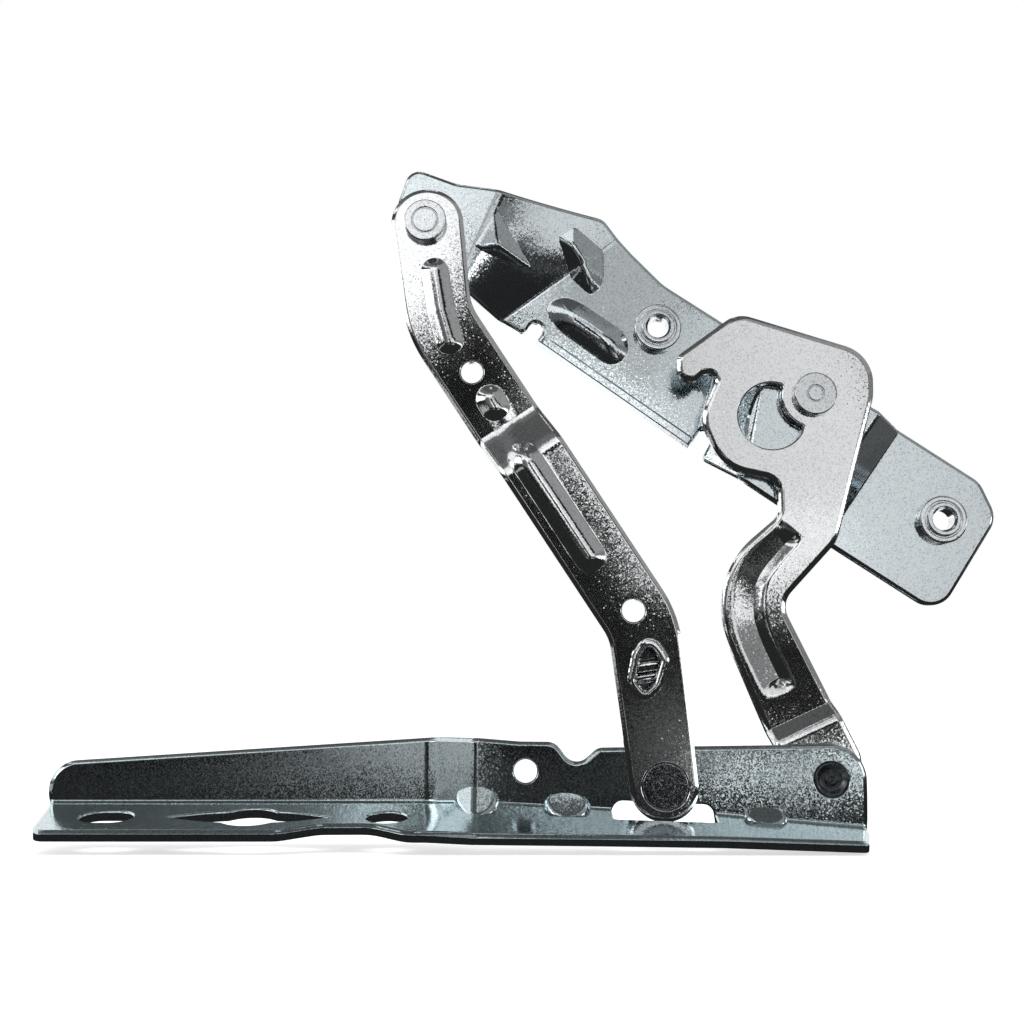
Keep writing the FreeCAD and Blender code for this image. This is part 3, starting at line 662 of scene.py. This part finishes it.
def flange_place(points):
    """A point of the flange's drawing in x and y, on the flattened sheet."""
    front, _, slope = base_line(points[:, 0])
    lean = np.arctan(slope)
    out = (front - base_bend + middle_bend * np.sin(lean) - points[:, 1]) / np.cos(lean)
    return np.stack([points[:, 0], -middle_bend * (0.5 * math.pi - lean) - out], 1)


def base_surface(points):
    """The bracket's middle: flange, bend and web, with the stiffeners pushed out across the bend."""
    x, s = points[:, 0], points[:, 1]
    front, centre, slope = base_line(x)
    lean = np.arctan(slope)
    length = middle_bend * (0.5 * math.pi - lean)
    turn = np.clip(s, -length, 0) / middle_bend
    out = np.maximum(-s - length, 0)
    web = np.maximum(s, 0)
    y = front - base_bend + middle_bend * np.cos(turn) - out * np.cos(lean)
    z = centre + middle_bend * np.sin(turn) - out * np.sin(lean) + web
    corner = centre + slope * base_bend - base_bend * np.sqrt(1 + slope * slope)
    reach = (front + 0.5 * base_thickness - y) + (z - corner + 0.5 * base_thickness)
    push = np.zeros(len(x))
    for at, half_width, leg in stiffeners:
        within = 1 - np.hypot((x - at) / half_width, reach / (leg + middle_leg))
        push += soft_step(within / 0.16) * ramp(leg + middle_leg - reach, 0.8) / math.sqrt(2)
    return np.stack([x, y - push * math.sqrt(0.5), z + push * math.sqrt(0.5)], 1)


def base_outline():
    """The bracket's edge on the flattened sheet: the flange's drawing below, the web's above."""
    plan = [(-107.2, 40, 0), (-101.6, -8.0, 6), (-99.6, -14.1, 3.5), (-30.0, -14.1, 9)]
    plan += [(-19.0, -7.8, 9), (-4.0, -7.6, 9), (6.5, -15.1, 9), (138.3, -15.1, 2), (142.8, 2.5, 8)]
    plan += [(142.8, 40, 0)]
    side = [(142.0, -20, 0), (142.7, 6.0, 20), (142.7, 21.0, 10.5), (131.0, 20.9, 20), (62.6, 20.0, 4)]
    side += [(55.6, 14.0, 4.2), (49.8, 21.7, 5), (39.3, 21.8, 6), (27.0, 22.8, 8), (14.7, 22.8, 30)]
    side += [(-105.4, 15.2, 9), (-105.4, -20, 0)]
    flange = flange_place(rounded_loop(plan))
    flange = flange[flange[:, 1] < -6.5]
    web = web_place(rounded_loop(side))
    web = web[web[:, 1] > 1.0]
    return np.concatenate([flange, between(flange[-1], web[0]), web, between(web[-1], flange[0])])


def between(a, b):
    """Points on the straight way from a to b, without its ends."""
    pieces = int(np.linalg.norm(b - a) / 0.9)
    return np.array([a + (b - a) * k / pieces for k in range(1, pieces)])


def eye_hole(x, y):
    """The large round hole with two long pointed ends, in plan."""
    half, rise, radius = 24.3, 6.2, 9.0
    bow = (half * half + rise * rise) / (2 * rise)
    run = half * np.sin(np.linspace(-0.5 * math.pi, 0.5 * math.pi, 75))
    lens = np.sqrt(np.maximum(bow * bow - run * run, 0)) - (bow - rise)
    disc = np.sqrt(np.maximum(radius * radius - run * run, 0))
    height = np.maximum(np.maximum(lens, disc), 0.0)
    top = np.stack([x + run, y + height], 1)
    low = np.stack([x + run, y - height], 1)[1:-1]
    return np.concatenate([low, top[::-1]])


def fold_grid():
    """Grid points on the flattened sheet, closer where it bends."""
    x = [-108.0]
    while x[-1] < 145.0:
        fine = 8 < x[-1] < 34 or 45.5 < x[-1] < 61 or 104.5 < x[-1] < 119.5
        x.append(x[-1] + (0.35 if fine else 1.1))
    s = np.concatenate([np.arange(*span) for span in
                        ((-36.0, -10.0, 1.1), (-10.0, 5.0, 0.4), (5.0, 26.0, 0.9))])
    return line_grid(np.array(x), s)


relief_low = flange_place(np.array([(66.6, -3.3), (97.2, -3.3)]))
relief_high = web_place(np.array([(66.6, 4.6), (97.2, 3.2)]))
relief = rounded_loop([tuple(relief_low[0]) + (1.0,), tuple(relief_low[1]) + (1.0,),
                       tuple(relief_high[1]) + (3.4,), tuple(relief_high[0]) + (3.4,)])
base_holes = [
    relief,
    web_place(round_hole((40.9, 13.1), tooling_hole)),
    flange_place(round_hole((0, 0), 6.1)),
    flange_place(slot_hole((-84.7, 0.5), (-80.9, 0.5), 5.9)),
    flange_place(eye_hole(-40.6, 0.5)),
    web_place(round_hole(front_base_pivot, rivet_hole)),
    web_place(round_hole(rear_base_pivot, 5.12))]
base_bracket = solid_mesh("base_bracket_plate", [
    pressed_sheet(base_outline(), base_holes, base_surface, base_thickness, fold_grid(), (1.4, 0.8))])
finish_piece(base_bracket, base_zinc, "base", ["base_bracket"])


# turned parts: rivets, washers, spacers and nuts

def turned_tree():
    """A node tree that turns the points of a profile, radius and depth, round the pivot's axis."""
    tree = bpy.data.node_groups.new("turned_part", "GeometryNodeTree")
    tree.interface.new_socket("Profile", in_out="INPUT", socket_type="NodeSocketGeometry")
    for name, kind in (("Points", "NodeSocketInt"), ("Segments", "NodeSocketInt"),
                       ("Centre", "NodeSocketVector"), ("Finish", "NodeSocketMaterial")):
        tree.interface.new_socket(name, in_out="INPUT", socket_type=kind)
    tree.interface.new_socket("Part", in_out="OUTPUT", socket_type="NodeSocketGeometry")
    given = add(tree, "NodeGroupInput").outputs
    columns = maths(tree, "ADD", given["Segments"], 1.0)
    grid = add(tree, "GeometryNodeMeshGrid", {"Vertices X": columns, "Vertices Y": given["Points"]})
    index = add(tree, "GeometryNodeInputIndex").outputs["Index"]
    row = maths(tree, "MODULO", index, given["Points"])
    column = maths(tree, "FLOOR", maths(tree, "DIVIDE", index, given["Points"]))
    angle = maths(tree, "MULTIPLY", maths(tree, "DIVIDE", column, given["Segments"]), 2 * math.pi)
    place = add(tree, "GeometryNodeInputPosition").outputs["Position"]
    sample = add(tree, "GeometryNodeSampleIndex", {"Geometry": given["Profile"], "Index": row},
                 data_type="FLOAT_VECTOR")
    tree.links.new(place, sample.inputs["Value"])
    split = add(tree, "ShaderNodeSeparateXYZ", {"Vector": sample.outputs["Value"]}).outputs
    x = maths(tree, "MULTIPLY", split["X"], maths(tree, "COSINE", angle))
    z = maths(tree, "MULTIPLY", split["X"], maths(tree, "SINE", angle))
    spot = add(tree, "ShaderNodeCombineXYZ", {"X": x, "Y": split["Y"], "Z": z}).outputs["Vector"]
    spot = vector_maths(tree, "ADD", spot, given["Centre"])
    part = add(tree, "GeometryNodeSetPosition", {"Geometry": grid.outputs["Mesh"], "Position": spot})
    for kind, inputs in (("GeometryNodeMergeByDistance", {"Distance": 0.002 * MM}),
                         ("GeometryNodeRealizeInstances", {}),
                         ("GeometryNodeSetMaterial", {"Material": given["Finish"]})):
        part = add(tree, kind, {"Geometry": part.outputs["Geometry"], **inputs})
    add(tree, "NodeGroupOutput", {"Part": part.outputs["Geometry"]})
    return tree


lathe = turned_tree()


def turned_part(profile, centre, finish):
    """Turns a profile of (radius, depth) points through the node tree and returns its points and faces."""
    mesh = bpy.data.meshes.new("profile")
    mesh.from_pydata([(r * MM, y * MM, 0) for r, y in profile], [], [])
    host = put("profile", mesh)
    modifier = host.modifiers.new("turned", "NODES")
    modifier.node_group = lathe
    values = {"Points": len(profile), "Segments": 72, "Centre": (centre[0] * MM, 0.0, centre[1] * MM),
              "Finish": finish}
    for item in lathe.interface.items_tree:
        if item.name in values:
            modifier[item.identifier] = values[item.name]
    seen = host.evaluated_get(bpy.context.evaluated_depsgraph_get())
    made = bpy.data.meshes.new_from_object(seen)
    host.modifiers.remove(modifier)
    bpy.data.objects.remove(host)
    spots = np.array([v.co for v in made.vertices]) / MM
    faces = [list(p.vertices) for p in made.polygons]
    facing = np.array([v.vector for v in made.vertex_normals])
    volume = sum(float(np.dot(spots[f[0]], np.cross(spots[f[i]], spots[f[i + 1]]))) for f in faces
                 for i in range(1, len(f) - 1))
    if volume < 0:
        faces = [f[::-1] for f in faces]
        facing = -facing
    return spots, faces, facing


def ring_profile(outer, inner, front, back, rounding=0.18):
    """A closed profile with rounded corners."""
    corners = [(inner, front), (outer, front), (outer, back), (inner, back)]
    loop = rounded_loop([(r, y, rounding) for r, y in corners], 0.3)
    return np.concatenate([loop, loop[:1]]).tolist()


tail_radius = 6.4
tail_height = 2.4


def rivet_profile(head, head_front, head_back, tail_start, marks, dish=None, shank=rivet_hole - 0.02):
    """From the middle of the head to the middle of the tail. marks are the radii of ring grooves in the head.
    dish is the radius of its pip, the depth of its floor and the radius of its rim."""
    corners = [(0.0, head_front, 0)]
    sunk = head_front + 0.5
    if dish is not None:
        pip, floor, rim = dish
        corners = [(0.0, sunk, 0), (pip, sunk, 0.3), (pip + 0.2, floor, 0.2)]
        corners += [(rim - 1.3, floor, 0.5), (rim, head_front, 0.4)]
    for radius in marks:
        corners += [(radius - 0.6, head_front, 0.1), (radius - 0.4, sunk, 0.08)]
        corners += [(radius - 0.15, sunk, 0.08), (radius, head_front, 0.1)]
    corners += [(head, head_front, 0.4), (head, head_back, 0.15), (shank, head_back, 0)]
    tail_end = tail_start + tail_height
    corners += [(shank, tail_start, 0), (tail_radius, tail_start, 0.2), (tail_radius, tail_end, 0.9)]
    corners += [(0.0, tail_end, 0)]
    loop = rounded_loop(corners, 0.3)
    first = int(np.argmin(np.hypot(loop[:, 0] - corners[0][0], loop[:, 1] - corners[0][1])))
    loop = np.roll(loop, -first, 0)
    last = int(np.argmin(np.hypot(loop[:, 0] - corners[-1][0], loop[:, 1] - corners[-1][1])))
    return loop[:last + 1].tolist()


def nut_profile(plane, back):
    """A collar with a raised boss in a ring groove, a countersunk bore, and the spigot through the sheet."""
    bore, spigot, collar = 3.4, 5.58, 7.6
    corners = [(bore, plane - 3.6, 0.2), (4.1, plane - 5.0, 0.2), (5.3, plane - 5.0, 0.3)]
    corners += [(5.45, plane - 3.3, 0.12), (5.95, plane - 3.3, 0.12), (6.1, plane - 3.9, 0.12)]
    corners += [(collar, plane - 3.9, 0.55), (collar, plane, 0.1), (spigot, plane, 0)]
    corners += [(spigot, back, 0.2), (bore, back, 0.2)]
    loop = rounded_loop(corners, 0.3)
    return np.concatenate([loop, loop[:1]]).tolist()


def turned_set(name, finish, body, parts):
    """One piece for a body. Each part has the solid it stands for, its profile and its centre."""
    made = [turned_part(profile, centre, finish) for _, profile, centre in parts]
    finish_piece(solid_mesh(name, made), finish, body, [part[0] for part in parts])


# a rivet's depths are its head's front and back and its tail's start, a ring's are its front and back
turned_set("hood_clinch_nuts", nut_zinc, "hood_bracket", [
    ("hood_nut_front", nut_profile(25.0, 28.0), hood_nuts[0]),
    ("hood_nut_rear", nut_profile(25.0, 28.0), hood_nuts[1])])
turned_set("hood_rivets", rivet_zinc, "hood_bracket", [
    ("rivet_front_hood", rivet_profile(6.65, 2.4, 5.4, 14.5, [4.3]), front_hood_pivot),
    ("rivet_rear_hood", rivet_profile(6.65, 7.6, 10.6, 19.7, [2.8]), rear_hood_pivot)])
snug = rivet_hole + 0.02
turned_set("hood_washers", washer_zinc, "hood_bracket", [
    ("spacer_front_hood", ring_profile(8.6, snug, 9.6, 10.5), front_hood_pivot),
    ("washer_front_hood", ring_profile(7.6, snug, 13.5, 14.5), front_hood_pivot),
    ("spacer_rear_hood", ring_profile(8.6, snug, 14.8, 15.7), rear_hood_pivot),
    ("washer_rear_hood", ring_profile(7.6, snug, 18.7, 19.7), rear_hood_pivot)])
turned_set("base_flush_rivet", rivet_flush, "base", [
    ("rivet_front_base", rivet_profile(6.78, -2.5, -1.02, 6.7, [3.6]), front_base_pivot)])
# the rear link's wide hole moves round this rivet as the hinge folds, so its shank is thinner
thin_shank = 3.48
turned_set("base_dished_rivet", rivet_dark, "base", [
    ("rivet_rear_base", rivet_profile(5.08, 2.5, 5.7, 11.8, [], (1.7, 3.7, 4.5), thin_shank),
     rear_base_pivot)])
turned_set("base_washers", washer_zinc, "base", [
    ("spacer_front_base", ring_profile(8.6, snug, 1.6, 2.5), front_base_pivot),
    ("washer_front_base", ring_profile(7.6, snug, 5.7, 6.7), front_base_pivot),
    ("spacer_rear_base", ring_profile(9.6, thin_shank + 0.04, 5.7, 6.6), rear_base_pivot),
    ("washer_rear_base", ring_profile(9.6, thin_shank + 0.04, 10.8, 11.8), rear_base_pivot)])

# the bushes stay as they are and only get their finish
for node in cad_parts:
    if node.startswith("bush"):
        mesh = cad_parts[node].data
        mesh.materials.clear()
        mesh.materials.append(bush_bronze)


# studio

# the camera stands low in front of the hinge and looks up a little
eye = np.array([36.87, -427.5, 34.1])
look_up = 7.53
camera = bpy.data.cameras.new("camera")
camera.lens = 50
camera.sensor_width = 36
camera.clip_start = 0.01
camera_object = put("camera", camera)
camera_object.location = eye * MM
camera_object.rotation_euler = (math.radians(90 + look_up), 0, 0)
bpy.context.scene.camera = camera_object
bpy.context.scene.view_settings.view_transform = "Standard"


def stage_card(name, spots, faces, level, cover):
    """A card that only mirrors see. level and cover are given for each of its points."""
    mesh = bpy.data.meshes.new(name)
    mesh.from_pydata((np.array(spots) * MM).tolist(), [], faces)
    mesh.attributes.new("level", "FLOAT", "POINT").data.foreach_set("value", level)
    mesh.attributes.new("cover", "FLOAT", "POINT").data.foreach_set("value", cover)
    card = put(name, mesh)
    material = bpy.data.materials.new(name + "_cloth")
    tree = empty_tree(material)
    tone = add(tree, "ShaderNodeAttribute", attribute_name="level").outputs["Fac"]
    part = add(tree, "ShaderNodeAttribute", attribute_name="cover").outputs["Fac"]
    clear = add(tree, "ShaderNodeBsdfTransparent")
    cloth = add(tree, "ShaderNodeEmission", {"Color": (1, 1, 1, 1), "Strength": tone})
    mix = add(tree, "ShaderNodeMixShader", {0: part, 1: clear.outputs["BSDF"], 2: cloth.outputs["Emission"]})
    add(tree, "ShaderNodeOutputMaterial", {"Surface": mix.outputs["Shader"]})
    mesh.materials.append(material)
    card.visible_camera = False
    card.visible_diffuse = False
    card.visible_shadow = False
    card.visible_transmission = False


def row_faces(wide, high):
    """The faces between points that stand in rows."""
    return [(i, i + 1, i + wide + 1, i + wide) for r in range(high - 1)
            for i in range(r * wide, r * wide + wide - 1)]


def patch_cover(points, corners, soft):
    """1 well inside an outline and 0 well outside, with a soft border."""
    loop = np.array(corners, float)
    far = path_distance(points, [tuple(p) for p in loop] + [tuple(loop[0])])[0]
    return soft_step(0.5 + np.where(inside(points, loop), far, -far) / soft)


# Patches of the painted card: painted reflections that give each flat upright face its light and shade, drawn
# at the x and z of the face that mirrors them to the camera: outline, (x, tone) from left to right, and
# softness. Later ones cover earlier ones.
patches = [
    ([(-170, 25), (62, 25), (62, 60), (-170, 60)], [(0, 0.05)], 6),
    ([(98, 22), (230, 22), (230, 66), (98, 66)], [(0, 0.03)], 6),
    ([(-12, 128), (26, 128), (26, 202), (-12, 202)], [(0, 1.25)], 14),
    ([(8, 186), (50, 186), (50, 208), (8, 208)], [(10, 1.1), (40, 0.9)], 10),
    ([(44, 112), (110, 112), (110, 184), (60, 200), (40, 150)], [(50, 0.44), (96, 0.56)], 10),
    ([(45.5, 153.5), (97, 116.8), (90, 104), (36, 143)], [(0, 1.5)], 2),
    ([(88, 92), (154, 92), (154, 160), (88, 160)], [(92, 0.70), (150, 0.80)], 8),
    ([(144, 54), (200, 54), (200, 126), (152, 126)], [(150, 0.80), (190, 0.72)], 8),
    ([(48, 112), (64, 94), (78, 68), (94, 70), (84, 100), (64, 124)], [(0, 1.1)], 5),
    ([(154, 130), (230, 130), (230, 215), (78, 215), (98, 168), (148, 166)], [(0, 0.010)], 8),
    ([(27, 188), (22, 168), (14, 152), (6, 144), (-8, 147), (-6, 120), (56, 40), (62, 24), (102, 24),
      (98, 66), (78, 70), (63, 96), (45, 118), (48, 130)], [(0, 0.010)], 7),
    ([(60, -40), (98, -40), (98, 36), (60, 36)], [(66, 0.03), (84, 0.09)], 22),
    ([(104, 24), (150, 14), (142, 60), (134, 74), (122, 62), (100, 66)], [(0, 0.012)], 9),
    ([(-150, 60), (-12, 60), (-16, 160), (-150, 160)], [(-90, 0.10), (-20, 0.20)], 14),
    ([(-150, -60), (24.8, -60), (24.8, 25), (-150, 25)],
     [(-105, 0.045), (-60, 0.09), (-10, 0.26), (14, 0.5)], 2),
    ([(-150, 11.8), (-60, 14.8), (-20, 20.5), (-20, 40), (-150, 40)], [(0, 0.006)], 3),
    ([(24.8, -60), (70, -60), (70, 25), (24.8, 25)], [(24, 0.10)], 2),
    ([(24.8, 12), (70, 12), (70, 40), (24.8, 40)], [(0, 0.010)], 6),
    ([(93, -60), (160, -60), (160, 23), (93, 23)], [(93, 0.95), (140, 1.2)], 3),
    ([(93, 16.5), (138, 16.5), (138, 23), (93, 23)], [(0, 0.008)], 3),
]


flat_depth = 5.0  # where the flat upright faces stand, roughly


def painted_card(far, pitch):
    """One large card in front, far from the hinge. The flat faces mirror its patches to the camera at rest.
    From another side, or at another pose, other faces mirror them."""
    left, right, bottom, top = -190, 270, -70, 265
    across = np.arange(left, right, pitch)
    up = np.arange(bottom, top, pitch)
    x, z = np.meshgrid(across, up)
    points = np.stack([x.ravel(), z.ravel()], 1)
    ground = 0.80  # shows only under the patches' soft borders
    level = np.full(len(points), ground)
    there = np.zeros(len(points))
    for corners, tones, soft in patches:
        cover = patch_cover(points, corners, soft)
        tone = np.interp(points[:, 0], [t[0] for t in tones], [t[1] for t in tones])
        level = level * (1 - cover) + tone * cover
        there = np.maximum(there, cover)
    stretch = (far + flat_depth) / (flat_depth - eye[1])
    spots = np.stack([points[:, 0] + (points[:, 0] - eye[0]) * stretch, np.full(len(points), -far),
                      points[:, 1] + (points[:, 1] - eye[2]) * stretch], 1)
    # the card's levels are painted light and shade, which the flat faces mirror as their own
    stage_card("painted_front", spots, row_faces(len(across), len(up)), level, there)


hinge_middle = [30, 0, 60]


def bent_card(name, sideways, upward, level, far=900.0, soft=6.0):
    """A card on a large ball round the hinge, from one direction to another. Angles are in degrees:
    sideways from straight ahead of the hinge, toward the right, and upward from level."""
    turns = np.arange(sideways[0], sideways[1] + 0.1, 3.0)
    lifts = np.arange(upward[0], upward[1] + 0.1, 3.0)
    side, lift = np.meshgrid(turns, lifts)
    side, lift = np.radians(side.ravel()), np.radians(lift.ravel())
    ways = np.stack([np.sin(side) * np.cos(lift), -np.cos(side) * np.cos(lift), np.sin(lift)], 1)
    rim = np.minimum(np.minimum(np.degrees(side) - turns[0], turns[-1] - np.degrees(side)),
                     np.minimum(np.degrees(lift) - lifts[0], lifts[-1] - np.degrees(lift)))
    stage_card(name, ways * far + hinge_middle, row_faces(len(turns), len(lifts)),
               np.full(len(ways), level), soft_step(rim / soft))


def flat_card(name, corners, level):
    stage_card(name, corners, [(0, 1, 2, 3)], np.full(4, level), np.ones(4))


painted_card(300.0, 2.5)
# dim cards and near-black flags, for what the bends, edges and slopes mirror
bent_card("card_overhead", (-186, 186), (57, 96), 0.085, 880.0)
bent_card("card_up_left", (-110, -8), (42, 70), 0.15)
bent_card("card_up_middle", (-14, 28), (42, 70), 0.10)
bent_card("card_up_right", (22, 110), (14, 66), 0.30)
bent_card("flag_left", (-90, -40), (26, 46), 0.010)
bent_card("flag_left_low", (-114, -20), (-14, 10), 0.010)
bent_card("flag_behind", (112, 248), (36, 69), 0.06)
flat_card("card_left_low", [(-300, -420, -8), (-300, 90, -8), (-300, 90, 26), (-300, -420, 26)], 0.45)
flat_card("card_right", [(430, -700, 128), (430, 160, 128), (430, 160, 260), (430, -700, 260)], 0.20)
flat_card("card_right_low", [(431, -60, -5), (431, 220, -5), (431, 220, 127), (431, -60, 127)], 0.10)
# a dark board under the hinge for what leans down
board = cad_box[0][2] * 1000 - 0.3
flat_card("board_under", [(-900, -1300, board), (1000, -1300, board),
                          (1000, 700, board), (-900, 700, board)], 0.02)


def seen_ray(tree):
    """1 for rays from the camera, from mirrors and through glass, and 0 for the rest."""
    path = add(tree, "ShaderNodeLightPath").outputs
    seen = maths(tree, "MAXIMUM", path["Is Camera Ray"], path["Is Glossy Ray"])
    return maths(tree, "MAXIMUM", seen, path["Is Transmission Ray"])


def white_room():
    """A white room for what is seen, and an even grey light otherwise."""
    world = bpy.data.worlds.new("room")
    bpy.context.scene.world = world
    tree = empty_tree(world)
    strength = add(tree, "ShaderNodeMapRange", {"Value": seen_ray(tree), "To Min": 0.6, "To Max": 1.0})
    light = add(tree, "ShaderNodeBackground", {"Color": (1, 1, 1, 1), "Strength": strength.outputs["Result"]})
    add(tree, "ShaderNodeOutputWorld", {"Surface": light.outputs["Background"]})


def pale_floor():
    """A plain pale floor. Where it is seen it has some light of its own, so it looks white and keeps the
    hinge's soft shadow."""
    low = cad_box[0][2] - 0.0006
    mesh = bpy.data.meshes.new("floor")
    mesh.from_pydata([(-3, -3, low), (3, -3, low), (3, 3, low), (-3, 3, low)], [], [(0, 1, 2, 3)])
    floor = put("floor", mesh)
    material = bpy.data.materials.new("studio_paper_matt")
    tree = empty_tree(material)
    own_light = maths(tree, "MULTIPLY", seen_ray(tree), 0.62)
    paper = add(tree, "ShaderNodeBsdfDiffuse", {"Color": shade("#F2F2F2")})
    lift = add(tree, "ShaderNodeEmission", {"Color": (1, 1, 1, 1), "Strength": own_light})
    both = add(tree, "ShaderNodeAddShader", {0: paper.outputs["BSDF"], 1: lift.outputs["Emission"]})
    add(tree, "ShaderNodeOutputMaterial", {"Surface": both.outputs["Shader"]})
    mesh.materials.append(material)


def soft_lamp(name, place, aim, size, power):
    """A soft lamp that is aimed at a point."""
    lamp = bpy.data.lights.new(name, "AREA")
    lamp.shape = "RECTANGLE"
    lamp.size, lamp.size_y = size
    lamp.energy = power
    made = put(name, lamp)
    made.location = place
    way = np.array(aim) - np.array(place)
    made.rotation_euler = Vector(way).to_track_quat("-Z", "Y").to_euler()


white_room()
pale_floor()
soft_lamp("lamp_top", (0.0, -0.2, 1.1), (0.03, 0, 0.1), (1.0, 0.8), 4)
soft_lamp("lamp_left", (-1.0, -0.5, 0.5), (0.03, 0, 0.1), (0.5, 1.0), 2)
soft_lamp("lamp_right", (1.1, -0.4, 0.4), (0.03, 0, 0.1), (0.5, 1.0), 2)
